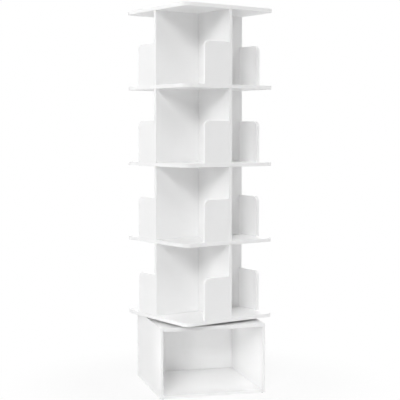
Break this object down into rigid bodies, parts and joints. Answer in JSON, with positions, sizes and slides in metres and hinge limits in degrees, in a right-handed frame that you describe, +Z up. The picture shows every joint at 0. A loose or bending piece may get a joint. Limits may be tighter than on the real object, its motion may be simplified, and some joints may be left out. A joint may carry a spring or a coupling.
{
  "type": "rotating bookshelf",
  "caption": "Tall free-standing white bookshelf whose square tiered tower turns on a ball-bearing ring above a fixed open cubby base; crossed dividers and short stops hold books.",
  "frame": {"origin": "on the floor, on the tower's turning axis, at the middle of the base", "axes": "+Z up along the turning axis; the base's open front faces -Y, with +X to its right"},
  "size_m": [0.5534, 0.5534, 1.574],
  "materials": {
    "white_board": "satin white melamine",
    "dowel_wood": "raw beech",
    "cam_zinc": "die-cast zinc",
    "fastener_steel": "zinc plated",
    "ball_steel": "polished",
    "cage_plastic": "natural nylon",
    "turntable_metal": "turned",
    "glide_plastic": "moulded"
  },
  "bodies": {
    "base": {"base_back": "white_board", "base_bottom": "white_board", "base_cam_bolts": "fastener_steel", "base_cam_locks": "cam_zinc", "base_dowels": "dowel_wood", "base_left_side": "white_board", "base_right_side": "white_board", "base_top": "white_board", "floor_glides": "glide_plastic", "turntable_base_ring": "turntable_metal", "turntable_base_screws": "fastener_steel"},
    "ball_ring": {"turntable_ball_cage": "cage_plastic", "turntable_balls": "ball_steel"},
    "tower": {"divider_cam_locks": "cam_zinc", "divider_dowels": "dowel_wood", "divider_end_bolts": "fastener_steel", "divider_through_bolts": "fastener_steel", "shelf_1": "white_board", "shelf_2": "white_board", "shelf_3": "white_board", "stop_dowels": "dowel_wood", "stop_screws": "fastener_steel", "tier_1_back_divider": "white_board", "tier_1_back_stop": "white_board", "tier_1_front_divider": "white_board", "tier_1_front_stop": "white_board", "tier_1_left_stop": "white_board", "tier_1_right_stop": "white_board", "tier_1_wide_divider": "white_board", "tier_2_back_divider": "white_board", "tier_2_back_stop": "white_board", "tier_2_front_divider": "white_board", "tier_2_front_stop": "white_board", "tier_2_left_stop": "white_board", "tier_2_right_stop": "white_board", "tier_2_wide_divider": "white_board", "tier_3_back_divider": "white_board", "tier_3_back_stop": "white_board", "tier_3_front_divider": "white_board", "tier_3_front_stop": "white_board", "tier_3_left_stop": "white_board", "tier_3_right_stop": "white_board", "tier_3_wide_divider": "white_board", "tier_4_back_divider": "white_board", "tier_4_back_stop": "white_board", "tier_4_front_divider": "white_board", "tier_4_front_stop": "white_board", "tier_4_left_stop": "white_board", "tier_4_right_stop": "white_board", "tier_4_wide_divider": "white_board", "top_panel": "white_board", "tower_floor": "white_board", "turntable_tower_ring": "turntable_metal", "turntable_tower_screws": "fastener_steel"}
  },
  "joints": [
    {"name": "tower_spin", "type": "hinge", "parent": "base", "child": "tower", "pos_m": [0, 0, 0.2935], "axis": [0, 0, 1], "continuous": true},
    {"name": "ball_ring_spin", "type": "hinge", "parent": "base", "child": "ball_ring", "pos_m": [0, 0, 0.2935], "axis": [0, 0, 1], "continuous": true}
  ],
  "couplings": [
    {"joint": "ball_ring_spin", "follows": "tower_spin", "ratio": 0.5}
  ]
}
